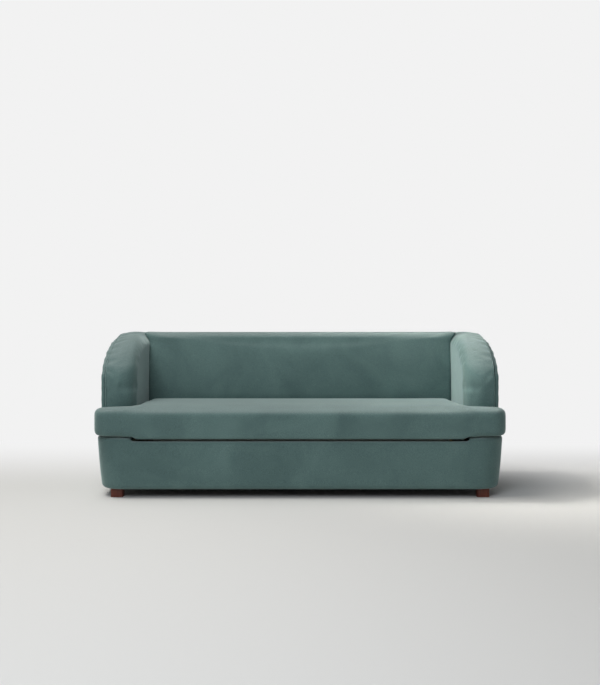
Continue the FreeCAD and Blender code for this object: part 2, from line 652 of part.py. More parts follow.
# pins: heads against the inner plate, bars through the outer one
def pin_of(label, radius, x, y, z):
    return rod(label, radius, x, y, z)


fold_pin = pin_of("fold_pin", "5", ("Places.tube_x", "Places.mid_x + Sizes.plate + 1"), F, "Places.fold_z")
node("fold_pins", pair("fold_pins", fold_pin))
turn_pin = pin_of("turn_pin", "5", ("Places.tube_x", "Places.mid_x + Sizes.plate + 1"), T, "Places.turn_z")
node("turn_pins", pair("turn_pins", turn_pin))
pins = []
for tag, y in (("front", "Places.pin_y"), ("rear", rear_pin)):
    inner_bar = pin_of(tag + "_pin_root", "5", ("Places.tube_x", "Places.tube_x + Sizes.plate"), y, "Places.pin_z")
    outer_bar = pin_of(tag + "_pin_bar", "6", ("Places.tube_x + Sizes.plate", "Places.link_x + 6"), y, "Places.pin_z")
    whole = join(tag + "_pin", [inner_bar, outer_bar])
    pins += [whole, mirror(tag + "_pin_twin", whole)]
node("link_pins", group("link_pins", pins))


# legs: flat bars beside the side rails, each with a glide at its tip
def leg(label, x, pivot, tip, z):
    way = 1 if tip > 0 else -1
    reach = "Places.leg_len - 14"
    y = (pivot, "%s + %s" % (pivot, reach)) if way > 0 else ("%s - (%s)" % (pivot, reach), pivot)
    solid = join(label + "_solid", [
        rod(label + "_eye", "9.5", x, pivot, z),
        box(label + "_bar", x, y, (z + " - 9.5", z + " + 9.5")),
    ])
    hole = rod(label + "_hole", "4.1", (x[0] + " - 2", x[1] + " + 2"), pivot, z)
    end = y[1] if way > 0 else y[0]
    cap_y = (end, end + " + 14") if way > 0 else (end + " - 14", end)
    glide = box(label + "_glide", x, cap_y, (z + " - 9.5", z + " + 9.5"))
    stub = rod(label + "_pin_bar", "4", (x[0] + " - 5", x[1]), pivot, z)
    return cut(label, solid, hole), glide, stub


mid_z = "Places.fold_z + Sizes.mattress_thickness + Sizes.bed_tube / 2"
mid_leg_x = ("Places.mid_x + Sizes.plate + 0.6", "Places.mid_x + Sizes.plate + 4.6")
bar, glide, stub = leg("middle_leg", mid_leg_x, T + " - 120", -1, mid_z)
node("middle_legs", pair("middle_legs", bar))
node("middle_leg_glides", pair("middle_leg_glides", glide))
stub.setExpression("Height", "Sizes.plate + 4.6")
stub.setExpression("Placement.Base.x", "Places.mid_x")
node("middle_leg_pins", pair("middle_leg_pins", stub))
foot_z = "Places.turn_z + 0.3 + Sizes.bed_tube / 2"
foot_leg_x = ("Places.mid_x + 0.2", "Places.mid_x + Sizes.plate + 0.2")
bar, glide, stub = leg("foot_leg", foot_leg_x, "Places.foot_end + 40", 1, foot_z)
node("foot_legs", pair("foot_legs", bar))
node("foot_leg_glides", pair("foot_leg_glides", glide))
stub.setExpression("Height", "2 * Sizes.plate + Sizes.fit + 0.2")
stub.setExpression("Placement.Base.x", "Places.tube_x")
node("foot_leg_pins", pair("foot_leg_pins", stub))
node("pull_strap", box("pull_strap", span("22"), ("Places.foot_end + 20", "Places.foot_end + 190"),
                       ("Places.stack_top + 0.1", "Places.stack_top + 1.6")))

doc.recompute()
for thing in doc.Objects:
    if "Invalid" in thing.State or "Error" in thing.State:
        raise RuntimeError("%s is in error" % thing.Label)
os.makedirs("parts", exist_ok=True)
for thing in NODES:
    if thing.Shape.isNull() or not thing.Shape.isValid():
        raise RuntimeError("%s has a bad shape" % thing.Label)
    thing.Shape.exportStep("parts/%s.step" % thing.Label)
    print(thing.Label, len(thing.Shape.Solids), [round(v) for v in (
        thing.Shape.BoundBox.XMin, thing.Shape.BoundBox.XMax, thing.Shape.BoundBox.YMin,
        thing.Shape.BoundBox.YMax, thing.Shape.BoundBox.ZMin, thing.Shape.BoundBox.ZMax)])
print(len(NODES), "sub-parts")
for name, _ in PLACES:
    print(name, round(at(name), 3), end="; ")
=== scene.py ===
"""Velvet sofa bed: soft pieces, finishes and a plain studio stage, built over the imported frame."""
import math

import bmesh
import bpy
import numpy as np
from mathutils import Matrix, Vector


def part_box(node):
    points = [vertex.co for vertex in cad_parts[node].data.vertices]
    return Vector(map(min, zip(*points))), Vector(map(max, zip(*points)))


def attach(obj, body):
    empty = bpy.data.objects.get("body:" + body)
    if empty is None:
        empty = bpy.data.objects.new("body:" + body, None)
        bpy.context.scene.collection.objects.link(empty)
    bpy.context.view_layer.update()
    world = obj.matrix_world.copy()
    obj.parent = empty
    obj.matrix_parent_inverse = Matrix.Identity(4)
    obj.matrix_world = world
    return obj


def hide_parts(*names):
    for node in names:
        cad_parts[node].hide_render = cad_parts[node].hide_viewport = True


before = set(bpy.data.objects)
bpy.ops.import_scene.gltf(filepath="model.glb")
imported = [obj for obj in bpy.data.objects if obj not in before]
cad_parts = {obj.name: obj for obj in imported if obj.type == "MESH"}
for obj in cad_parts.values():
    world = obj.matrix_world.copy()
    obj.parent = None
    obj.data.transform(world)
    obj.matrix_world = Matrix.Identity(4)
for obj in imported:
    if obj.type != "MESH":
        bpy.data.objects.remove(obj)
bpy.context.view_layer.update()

# skins of the soft pieces: spacing of their points, in metres
FINE_SKIN = 0.008
BED_SKIN = 0.011
BROAD_SKIN = 0.012
# the arms' sweep turns about this line: y, z and radius, in metres
SWEEP_Y, SWEEP_Z, SWEEP_RADIUS = 0.10, 0.45, 0.42

bl_info = {
    "name": "Velvet sofa bed",
    "version": (1, 0, 0),
    "blender": (4, 5, 0),
    "location": "View3D > Sidebar > Sofa Bed",
    "description": "Builds the upholstery, bedding and finishes of a fold-out sofa bed",
    "category": "Object",
}


class SofaSizes(bpy.types.PropertyGroup):
    """Sizes of the upholstery that a user would change."""

    crown: bpy.props.FloatProperty(
        name="Cushion crown", description="Rise of the seat cushion over its front third", default=0.009,
        subtype="DISTANCE")
    fulness: bpy.props.FloatProperty(
        name="Fulness", description="How far the filling may push a pad's cover", default=0.009,
        subtype="DISTANCE")
    pucker: bpy.props.FloatProperty(
        name="Pucker", description="Depth of the gathers along the arms' outer seam", default=0.0035,
        subtype="DISTANCE")
    arm_roll: bpy.props.FloatProperty(
        name="Arm roll", description="Radius of the arms' rolled inner edge", default=0.06,
        subtype="DISTANCE")
    front_turn: bpy.props.FloatProperty(
        name="Front turn", description="Radius between an arm's front and its inner face", default=0.085,
        subtype="DISTANCE")
    sag: bpy.props.FloatProperty(
        name="Sag", description="How far the seat cushion hangs over the front panel", default=0.009,
        subtype="DISTANCE")
    draw_in: bpy.props.FloatProperty(
        name="Draw-in", description="How far the arms' outer edge leans in at the top", default=0.022,
        subtype="DISTANCE")
    panel_drop: bpy.props.FloatProperty(
        name="Panel drop", description="How far the outside panels stop below the arms' sweep", default=0.013,
        subtype="DISTANCE")
    arm_welt: bpy.props.FloatProperty(
        name="Arm welt", description="Radius of the covered cord along the arms' outer seam", default=0.0045,
        subtype="DISTANCE")
    welt: bpy.props.FloatProperty(
        name="Welt", description="Radius of the covered cord along a mattress edge", default=0.004,
        subtype="DISTANCE")


class SofaColours(bpy.types.PropertyGroup):
    """Colours that a user would change, as sRGB hex values."""

    velvet: bpy.props.StringProperty(name="Velvet", description="Pile seen straight on", default="57706e")
    velvet_worn: bpy.props.StringProperty(
        name="Brushed velvet", description="Pile brushed the other way", default="65807d")
    # painted light: the paler colour mixed into faces that look up, which stands in for light from above
    velvet_top_light: bpy.props.StringProperty(
        name="Velvet painted top light", description="Pile seen from above", default="8d9c9b")
    ticking: bpy.props.StringProperty(name="Ticking", description="Mattress cover", default="dcd9d0")
    feet: bpy.props.StringProperty(name="Feet", description="Stained wood of the feet", default="66301f")
    floor: bpy.props.StringProperty(name="Floor", description="Studio floor", default="dadad8")
    backdrop: bpy.props.StringProperty(name="Backdrop", description="Studio backdrop", default="f2f2f2")


def linear(text):
    """An sRGB hex value as a linear RGBA colour."""
    out = []
    for i in (0, 2, 4):
        c = int(text[i:i + 2], 16) / 255
        out.append(c / 12.92 if c <= 0.04045 else ((c + 0.055) / 1.055) ** 2.4)
    return (*out, 1.0)


def add(tree, kind, inputs=None, stops=(), **settings):
    """Adds a node: its properties, its sockets (an output is linked) and its colour stops (position, hex)."""
    made = tree.nodes.new(kind)
    for key, value in settings.items():
        setattr(made, key, value)
    for key, value in (inputs or {}).items():
        if isinstance(value, bpy.types.NodeSocket):
            tree.links.new(value, made.inputs[key])
        else:
            made.inputs[key].default_value = value
    for index, (position, text) in enumerate(stops):
        made.color_ramp.elements[index].position = position
        made.color_ramp.elements[index].color = linear(text)
    return made


def material(name):
    """A new material, its nodes, its shader and the object's own coordinates in metres."""
    made = bpy.data.materials.new(name)
    made.use_nodes = True
    tree = made.node_tree
    shader = tree.nodes["Principled BSDF"]
    place = add(tree, "ShaderNodeTexCoord").outputs["Object"]
    return made, tree, shader, place


def link_to(tree, socket, value):
    tree.links.new(value, socket)


def velvet():
    """Woven pile velvet: soft sheen at grazing angles, paler patches where the pile is brushed, and painted
    light on faces that look up.
    """
    colours = bpy.context.scene.sofa_colours
    made, tree, shader, place = material("Cotton velvet")
    # brushed patches about 260 mm across
    patches = add(tree, "ShaderNodeTexNoise", {"Vector": place, "Scale": 1 / 0.26, "Detail": 3.0,
                                               "Distortion": 0.7})
    # pile tufts are 0.5 mm apart; drawn at 3 mm so that they show
    pile = add(tree, "ShaderNodeTexNoise", {"Vector": place, "Scale": 1 / 0.003, "Detail": 2.0})
    # shallow creases of the backing, about 60 mm apart
    drape = add(tree, "ShaderNodeTexNoise", {"Vector": place, "Scale": 1 / 0.06, "Detail": 2.0})
    colour = add(tree, "ShaderNodeValToRGB", {"Fac": patches.outputs["Fac"]},
                 stops=[(0.32, colours.velvet), (0.72, colours.velvet_worn)]).outputs["Color"]
    # painted light: faces that look up are mixed towards a paler colour, which stands in for the light
    # falling on them from above
    surface = add(tree, "ShaderNodeNewGeometry")
    facing = add(tree, "ShaderNodeSeparateXYZ", {"Vector": surface.outputs["Normal"]})
    top_light_share = add(tree, "ShaderNodeMapRange", {"Value": facing.outputs["Z"], "From Min": 0.35, "From Max": 0.85,
                                            "To Min": 0.0, "To Max": 0.55})
    painted_top_light = add(tree, "ShaderNodeMix", {"Factor": top_light_share.outputs["Result"], 6: colour,
                                         7: linear(colours.velvet_top_light)}, data_type="RGBA")
    colour = painted_top_light.outputs[2]
    speck = add(tree, "ShaderNodeValToRGB", {"Fac": pile.outputs["Fac"]},
                stops=[(0.3, "d2d2d2"), (0.7, "ffffff")]).outputs["Color"]
    tinted = add(tree, "ShaderNodeMix", {"Factor": 1.0, 6: colour, 7: speck},
                 data_type="RGBA", blend_type="MULTIPLY")
    link_to(tree, shader.inputs["Base Color"], tinted.outputs[2])
    broad = add(tree, "ShaderNodeBump", {"Strength": 0.12, "Distance": 0.004, "Height": drape.outputs["Fac"]})
    fine = add(tree, "ShaderNodeBump", {"Strength": 0.3, "Distance": 0.0006, "Height": pile.outputs["Fac"],
                                        "Normal": broad.outputs["Normal"]})
    link_to(tree, shader.inputs["Normal"], fine.outputs["Normal"])
    shader.inputs["Roughness"].default_value = 0.88
    shader.inputs["Specular IOR Level"].default_value = 0.2
    shader.inputs["Sheen Weight"].default_value = 0.8
    shader.inputs["Sheen Roughness"].default_value = 0.38
    shader.inputs["Sheen Tint"].default_value = linear("c2d2d0")
    return made


def stained_wood():
    """Solid beech stained red-brown and sealed: fine straight grain under a satin film."""
    made, tree, shader, place = material("Stained beech")
    stretch = add(tree, "ShaderNodeMapping", {"Vector": place, "Scale": (1.0, 1.0, 0.08)})
    # grain lines about 4 mm apart, upright
    grain = add(tree, "ShaderNodeTexNoise", {"Vector": stretch.outputs["Vector"], "Scale": 1 / 0.004,
                                             "Detail": 4.0})
    base = bpy.context.scene.sofa_colours.feet
    shade = add(tree, "ShaderNodeValToRGB", {"Fac": grain.outputs["Fac"]},
                stops=[(0.3, "451a10"), (0.65, base)])
    link_to(tree, shader.inputs["Base Color"], shade.outputs["Color"])
    bump = add(tree, "ShaderNodeBump", {"Strength": 0.15, "Distance": 0.0004, "Height": grain.outputs["Fac"]})
    link_to(tree, shader.inputs["Normal"], bump.outputs["Normal"])
    shader.inputs["Roughness"].default_value = 0.42
    shader.inputs["Specular IOR Level"].default_value = 0.35
    return made


def sawn_wood(name, dark, pale, axis, gap):
    """Timber with grain along one axis: pale early wood between darker lines, sawn and left dry."""
    made, tree, shader, place = material(name)
    scale = [1.0, 1.0, 1.0]
    scale[axis] = 0.05
    stretch = add(tree, "ShaderNodeMapping", {"Vector": place, "Scale": tuple(scale)})
    grain = add(tree, "ShaderNodeTexNoise", {"Vector": stretch.outputs["Vector"], "Scale": 1 / gap,
                                             "Detail": 5.0, "Distortion": 0.4})
    shade = add(tree, "ShaderNodeValToRGB", {"Fac": grain.outputs["Fac"]},
                stops=[(0.35, dark), (0.62, pale)])
    link_to(tree, shader.inputs["Base Color"], shade.outputs["Color"])
    bump = add(tree, "ShaderNodeBump", {"Strength": 0.2, "Distance": 0.0005, "Height": grain.outputs["Fac"]})
    link_to(tree, shader.inputs["Normal"], bump.outputs["Normal"])
    shader.inputs["Roughness"].default_value = 0.6
    return made


def painted_steel():
    """Powder-coated mild steel: even satin film with a faint orange-peel surface."""
    made, tree, shader, place = material("Powder-coated steel")
    # orange peel about 3 mm across
    peel = add(tree, "ShaderNodeTexNoise", {"Vector": place, "Scale": 1 / 0.003, "Detail": 1.0})
    rub = add(tree, "ShaderNodeTexNoise", {"Vector": place, "Scale": 1 / 0.08, "Detail": 4.0})
    shade = add(tree, "ShaderNodeValToRGB", {"Fac": rub.outputs["Fac"]},
                stops=[(0.4, "3a3b3d"), (0.7, "47484a")])
    link_to(tree, shader.inputs["Base Color"], shade.outputs["Color"])
    bump = add(tree, "ShaderNodeBump", {"Strength": 0.12, "Distance": 0.0003, "Height": peel.outputs["Fac"]})
    link_to(tree, shader.inputs["Normal"], bump.outputs["Normal"])
    shader.inputs["Roughness"].default_value = 0.45
    return made


def zinc():
    """Zinc-plated turned steel: pale grey metal with fine turning marks."""
    made, tree, shader, place = material("Zinc-plated steel")
    # turning marks 1.2 mm apart, drawn as streaks across the pin
    marks = add(tree, "ShaderNodeTexNoise", {"Vector": place, "Scale": 1 / 0.0012, "Detail": 2.0})
    shade = add(tree, "ShaderNodeValToRGB", {"Fac": marks.outputs["Fac"]},
                stops=[(0.3, "8d8f92"), (0.7, "b4b6b8")])
    link_to(tree, shader.inputs["Base Color"], shade.outputs["Color"])
    shader.inputs["Metallic"].default_value = 1.0
    shader.inputs["Roughness"].default_value = 0.35
    return made


def woven(name, pale, dark, thread, rough):
    """Plain-woven cloth: warp and weft threads crossing at right angles."""
    made, tree, shader, place = material(name)
    warp = add(tree, "ShaderNodeTexWave", {"Vector": place, "Scale": 0.314 / thread, "Distortion": 0.6},
               bands_direction="X")
    weft = add(tree, "ShaderNodeTexWave", {"Vector": place, "Scale": 0.314 / thread, "Distortion": 0.6},
               bands_direction="Y")
    cross = add(tree, "ShaderNodeMath", {0: warp.outputs["Fac"], 1: weft.outputs["Fac"]},
                operation="MULTIPLY")
    shade = add(tree, "ShaderNodeValToRGB", {"Fac": cross.outputs["Value"]},
                stops=[(0.1, dark), (0.6, pale)])
    link_to(tree, shader.inputs["Base Color"], shade.outputs["Color"])
    bump = add(tree, "ShaderNodeBump", {"Strength": 0.25, "Distance": 0.0006,
                                        "Height": cross.outputs["Value"]})
    link_to(tree, shader.inputs["Normal"], bump.outputs["Normal"])
    shader.inputs["Roughness"].default_value = rough
    shader.inputs["Sheen Weight"].default_value = 0.15
    return made


def moulded_rubber():
    """Moulded rubber: matt black with a fine spark-eroded mould grain."""
    made, tree, shader, place = material("Moulded rubber")
    grain = add(tree, "ShaderNodeTexNoise", {"Vector": place, "Scale": 1 / 0.001, "Detail": 2.0})
    shade = add(tree, "ShaderNodeValToRGB", {"Fac": grain.outputs["Fac"]},
                stops=[(0.3, "18181a"), (0.7, "232325")])
    link_to(tree, shader.inputs["Base Color"], shade.outputs["Color"])
    bump = add(tree, "ShaderNodeBump", {"Strength": 0.2, "Distance": 0.0002, "Height": grain.outputs["Fac"]})
    link_to(tree, shader.inputs["Normal"], bump.outputs["Normal"])
    shader.inputs["Roughness"].default_value = 0.75
    return made


FINISHES = {}


def finish(name):
    """Each finish is made once, when a piece first asks for it."""
    makers = {
        "velvet": velvet,
        "feet": stained_wood,
        "pine": lambda: sawn_wood("Sawn pine", "a98659", "cfae80", 0, 0.006),
        "ply": lambda: sawn_wood("Birch plywood", "b3925f", "d2b486", 1, 0.007),
        "post": lambda: sawn_wood("Sawn pine upright", "a98659", "cfae80", 2, 0.006),
        "beech": lambda: sawn_wood("Lacquered beech", "c08f5b", "d8b07d", 0, 0.004),
        "paint": painted_steel,
        "zinc": zinc,
        # ticking threads are 0.5 mm apart; drawn at 3 mm so that they show
        "ticking": lambda: woven(
            "Cotton ticking", bpy.context.scene.sofa_colours.ticking, "b7b3a8", 0.003, 0.85),
        "webbing": lambda: woven("Polypropylene webbing", "3a3a3c", "1e1e20", 0.003, 0.7),
        "cloth": lambda: woven("Spun-bonded cloth", "262628", "161617", 0.004, 0.9),
        "rubber": moulded_rubber,
    }
    if name not in FINISHES:
        FINISHES[name] = makers[name]()
    return FINISHES[name]


def points_of(mesh):
    flat = np.empty(len(mesh.vertices) * 3, dtype=np.float32)
    mesh.vertices.foreach_get("co", flat)
    return flat.reshape(-1, 3).astype(float)


def normals_of(mesh):
    flat = np.empty(len(mesh.vertices) * 3, dtype=np.float32)
    mesh.vertex_normals.foreach_get("vector", flat)
    return flat.reshape(-1, 3).astype(float)


def put_points(mesh, points):
    mesh.vertices.foreach_set("co", points.astype(np.float32).ravel())
    mesh.update()


def settle(piece):
    """Applies the piece's modifiers to its mesh."""
    graph = bpy.context.evaluated_depsgraph_get()
    made = bpy.data.meshes.new_from_object(piece.evaluated_get(graph))
    piece.modifiers.clear()
    piece.data = made


def new_piece(name, mesh, finish_name):
    """An object with one finish, in the scene."""
    piece = bpy.data.objects.new(name, mesh)
    bpy.context.scene.collection.objects.link(piece)
    mesh.materials.clear()
    mesh.materials.append(finish(finish_name))
    return piece


def cover_form(source, name, voxel, rounds, finish_name="velvet"):
    """A soft copy of a node's solid."""
    return eased(new_piece(name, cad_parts[source].data.copy(), finish_name), voxel, rounds, finish_name)


def eased(piece, voxel, rounds, finish_name):
    """Turns a solid into an even skin whose edges are eased as a padded cover's are."""
    even = piece.modifiers.new("even", "REMESH")
    even.mode = "VOXEL"
    even.voxel_size = voxel
    ease = piece.modifiers.new("ease", "SMOOTH")
    ease.factor = 0.5
    ease.iterations = rounds
    settle(piece)
    piece.data.materials.clear()
    piece.data.materials.append(finish(finish_name))
    return piece


def swell(piece, pressure, cap, held=None):
    """Fills the cover: a cloth under inside pressure, whose points move no further than the cap."""
    before = points_of(piece.data)
    cloth = piece.modifiers.new("cover", "CLOTH")
    cloth.settings.quality = 4
    cloth.settings.mass = 0.4
    cloth.settings.tension_stiffness = 40
    cloth.settings.compression_stiffness = 40
    cloth.settings.bending_stiffness = 4
    cloth.settings.use_pressure = True
    cloth.settings.uniform_pressure_force = pressure
    cloth.settings.effector_weights.gravity = 0
    if held is not None:
        pins = piece.vertex_groups.new(name="held")
        pins.add([int(i) for i in np.nonzero(held)[0]], 1.0, "REPLACE")
        cloth.settings.vertex_group_mass = "held"
    cloth.point_cache.frame_start = 1
    cloth.point_cache.frame_end = 16
    for step in range(1, 17):
        bpy.context.scene.frame_set(step)
    settle(piece)
    bpy.context.scene.frame_set(1)
    piece.vertex_groups.clear()
    move = points_of(piece.data) - before
    far = np.linalg.norm(move, axis=1)
    move *= np.minimum(1.0, cap / np.maximum(far, 1e-9))[:, None]
    put_points(piece.data, before + move)


def ease_points(piece, rounds):
    """Evens out a piece's points over some rounds."""
    ease = piece.modifiers.new("ease", "SMOOTH")
    ease.factor = 0.5
    ease.iterations = rounds
    settle(piece)


def complete(piece, body, source):
    """Smooth shading, and the piece's place in the frame."""
    piece.data.polygons.foreach_set("use_smooth", [True] * len(piece.data.polygons))
    piece.data.update()
    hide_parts(*((source,) if isinstance(source, str) else source))
    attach(piece, body)
    return piece


def ripples(along, wave, seed):
    """Uneven gathers: waves of changing length, about one wave apart."""
    return (np.sin(along / wave * 2 * math.pi + seed) * 0.6
            + np.sin(along / (wave * 1.7) * 2 * math.pi + 2.1 * seed) * 0.4)


def line_piece(name, routes, radius, finish_name, closed=True, onto=None):
    """Round cords along routes of points; onto presses them to a piece's surface."""
    curve = bpy.data.curves.new(name, "CURVE")
    curve.dimensions = "3D"
    curve.bevel_depth = radius
    curve.bevel_resolution = 2
    curve.materials.append(finish(finish_name))
    for route in routes:
        if onto is not None:
            route = np.array([onto.closest_point_on_mesh(Vector(p))[1] for p in route])
            if not closed:
                for _ in range(3):
                    route[1:-1] = (route[:-2] + 2 * route[1:-1] + route[2:]) / 4
        line = curve.splines.new("POLY")
        line.points.add(len(route) - 1)
        for point, place in zip(line.points, route):
            point.co = (*place, 1.0)
        line.use_cyclic_u = closed
    piece = bpy.data.objects.new(name, curve)
    bpy.context.scene.collection.objects.link(piece)
    return piece


class SOFA_OT_seat_cushion(bpy.types.Operator):
    """Make the loose T-shaped seat cushion."""

    bl_idname = "sofa.seat_cushion"
    bl_label = "Seat cushion"

    def execute(self, context):
        sizes = context.scene.sofa_sizes
        low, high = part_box("seat_cushion")
        piece = cover_form("seat_cushion", "seat_cushion_cover", BROAD_SKIN, 4)
        points = points_of(piece.data)
        resting = (points[:, 2] < low[2] + 0.01) & (np.abs(points[:, 0]) < 0.86)
        swell(piece, 5.0, sizes.fulness * 1.3, resting)
        ease_points(piece, 3)
        points = points_of(piece.data)
        # the filling pushes the cover out to its cut width, to the arms and nearly to the back
        arm_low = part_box("arm_pad_right")[0]
        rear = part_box("back_pad")[0][1] - 0.005
        first, last = points[:, 1].min(), points[:, 1].max()
        points[:, 1] = low[1] + 0.003 + (points[:, 1] - first) * (rear - low[1] - 0.003) / (last - first)
        neck = points[:, 1] > arm_low[1] + 0.01
        points[neck, 0] *= (arm_low[0] - 0.003) / np.abs(points[neck, 0]).max()
        points[~neck, 0] *= (high[0] - 0.003) / np.abs(points[~neck, 0]).max()
        across = np.clip(1 - (points[:, 0] / high[0]) ** 10, 0, 1)
        # fullest over the front third, beside the arms' fronts
        peak = low[1] + 0.2
        reach = np.where(points[:, 1] < peak, peak - low[1], high[1] - peak)
        deep = np.clip(1 - np.abs((points[:, 1] - peak) / reach) ** 2.5, 0, 1)
        share = np.clip((points[:, 2] - low[2]) / (high[2] - low[2]), 0, 1)
        points[:, 2] += sizes.crown * across * deep * share
        # the front edge hangs a little below the bed, over the lower front panel
        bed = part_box("foot_mattress")
        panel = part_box("base_front_panel")
        ahead = np.clip((bed[0][1] - 0.006 - points[:, 1]) / 0.03, 0, 1)
        inside = np.clip((panel[1][0] - 0.012 - np.abs(points[:, 0])) / 0.02, 0, 1)
        points[:, 2] -= sizes.sag * ahead * inside * (1 - share) ** 2
        # the cover stays between the arms, off the back and on the base
        between = points[:, 1] > arm_low[1] - 0.004
        points[between, 0] = np.clip(points[between, 0], 0.002 - arm_low[0], arm_low[0] - 0.002)
        behind_ear = np.abs(points[:, 0]) > arm_low[0] - 0.001
        points[behind_ear, 1] = np.minimum(points[behind_ear, 1], arm_low[1] - 0.001)
        floor = low[2] + 0.0003 - sizes.sag * ahead * inside
        points[:, 2] = np.maximum(points[:, 2], floor)
        put_points(piece.data, points)
        complete(piece, "seat_cushion", "seat_cushion")
        return {"FINISHED"}


def draw_in(piece, hand, amount):
    """Leans the top of an arm inwards, as the cover pulls over its outer edge."""
    points = points_of(piece.data)
    put_points(piece.data, leaned(points, hand, amount))


def leaned(points, hand, amount):
    """Points moved as the cover draws them in: most at the top and along the outer edge."""
    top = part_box("arm_pad_right")[1][2]
    lean = np.clip((points[:, 2] - (top - 0.16)) / 0.16, 0, 1) ** 2
    outward = np.clip((hand * points[:, 0] - 0.93) / 0.1, 0, 1)
    out = points.copy()
    out[:, 0] -= hand * amount * lean * outward
    return out


def arm_line(x, outset):
    """Points up the front of an arm and along its swept top, at one distance from the middle of the sofa."""
    low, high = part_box("arm_pad_right")
    front, top = low[1] - outset, high[2] + outset
    nose = 0.15 + outset
    sweep = 0.52 + outset
    nose_z = 0.59
    meet = math.radians(44.6)
    nose_y = front + nose
    sweep_z = top - sweep
    sweep_y = nose_y + (sweep - nose) * math.cos(meet)
    route = [(x, front, low[2] + 0.012 + (nose_z - low[2] - 0.012) * i / 12) for i in range(12)]
    for i in range(12):
        angle = meet * i / 12
        route.append((x, nose_y - nose * math.cos(angle), nose_z + nose * math.sin(angle)))
    for i in range(25):
        angle = meet + (math.pi / 2 - meet) * i / 24
        route.append((x, sweep_y - sweep * math.cos(angle), sweep_z + sweep * math.sin(angle)))
    route += [(x, sweep_y + 0.04 * i, top) for i in range(1, 5)]
    return route


def turn_front(points, hand, radius):
    """Rounds the upright edge where an arm's front turns into its inner face, above the seat cushion."""
    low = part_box("arm_pad_right")[0]
    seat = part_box("seat_cushion")[1][2]
    route = np.array(arm_line(low[0], 0.0))
    front = np.interp(points[:, 2], route[:, 2], route[:, 1])
    full = np.clip((points[:, 2] - seat - 0.012) / 0.1, 0, 1)
    reach = 0.002 + (radius - 0.002) * full ** 2 * (3 - 2 * full)
    inward = reach - (hand * points[:, 0] - low[0])
    deep = reach - (points[:, 1] - front)
    far = np.hypot(np.maximum(inward, 0), np.maximum(deep, 0))
    pull = np.where((inward > 0) & (deep > 0), np.minimum(1.0, reach / np.maximum(far, 1e-9)), 1.0)
    out = points.copy()
    out[:, 0] = hand * (low[0] + reach - inward * pull)
    out[:, 1] = front + reach - deep * pull
    return out


def along_sweep(points):
    """Each point's angle round the arm's sweep, and how far it lies on the bend, where the cover gathers."""
    turn = np.arctan2(points[:, 2] - SWEEP_Z, -(points[:, 1] - SWEEP_Y))
    bend = np.clip(1.3 - np.abs(turn - 0.85) / 0.75, 0, 1)
    return turn, bend


class SOFA_OT_arm_pads(bpy.types.Operator):
    """Make both padded arms, with gathers along their outer seam."""

    bl_idname = "sofa.arm_pads"
    bl_label = "Arm pads"

    def execute(self, context):
        sizes = context.scene.sofa_sizes
        for hand, side in ((1, "right"), (-1, "left")):
            source = "arm_pad_" + side
            low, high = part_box(source)
            piece = cover_form(source, "arm_cover_" + side, FINE_SKIN, 5)
            points = points_of(piece.data)
            normals = normals_of(piece.data)
            outer = max(abs(low[0]), abs(high[0]))
            from_seam = outer - np.abs(points[:, 0])
            turn, bend = along_sweep(points)
            depth = np.exp(-(from_seam / 0.05) ** 2) * bend * sizes.pucker
            points += normals * (ripples(turn * SWEEP_RADIUS, 0.052, 0.7 + hand) * depth)[:, None]
            points = turn_front(points, hand, sizes.front_turn)
            put_points(piece.data, points)
            held = (from_seam < 0.012) | (points[:, 2] < low[2] + 0.01) | (points[:, 1] > high[1] - 0.02)
            swell(piece, 3.0, sizes.fulness * 0.7, held)
            ease_points(piece, 2)
            draw_in(piece, hand, sizes.draw_in)
            complete(piece, "sofa", source)
            seam = leaned(np.array(arm_line(hand * outer, 0.0)), hand, sizes.draw_in)
            welt = line_piece("arm_welt_" + side, [seam], sizes.arm_welt, "velvet", closed=False, onto=piece)
            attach(welt, "sofa")
        return {"FINISHED"}


class SOFA_OT_back_pad(bpy.types.Operator):
    """Make the tight back between the arms."""

    bl_idname = "sofa.back_pad"
    bl_label = "Back pad"

    def execute(self, context):
        sizes = context.scene.sofa_sizes
        low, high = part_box("back_pad")
        piece = cover_form("back_pad", "back_cover", BROAD_SKIN, 4)
        points = points_of(piece.data)
        held = (points[:, 1] > low[1] + 0.12) | (points[:, 2] < low[2] + 0.015)
        held |= np.abs(points[:, 0]) > high[0] - 0.02
        swell(piece, 2.5, sizes.fulness * 0.6, held)
        ease_points(piece, 3)
        points = points_of(piece.data)
        # near its top the back spreads sideways over the rolled inner edges of the arms
        roll = sizes.arm_roll
        rise = np.clip(points[:, 2] - (high[2] - roll), 0, roll)
        spread = roll - np.sqrt(roll ** 2 - rise ** 2)
        side = np.clip((np.abs(points[:, 0]) - (high[0] - 0.06)) / 0.05, 0, 1)
        points[:, 0] += np.sign(points[:, 0]) * (spread + 0.01 * rise / roll) * side ** 2
        # and keeps its height there
        crest = np.clip((points[:, 2] - (high[2] - 0.02)) / 0.012, 0, 1)
        points[:, 2] += side * crest * np.clip(high[2] + 0.002 - points[:, 2], 0, 0.008)
        put_points(piece.data, points)
        complete(piece, "sofa", "back_pad")
        return {"FINISHED"}


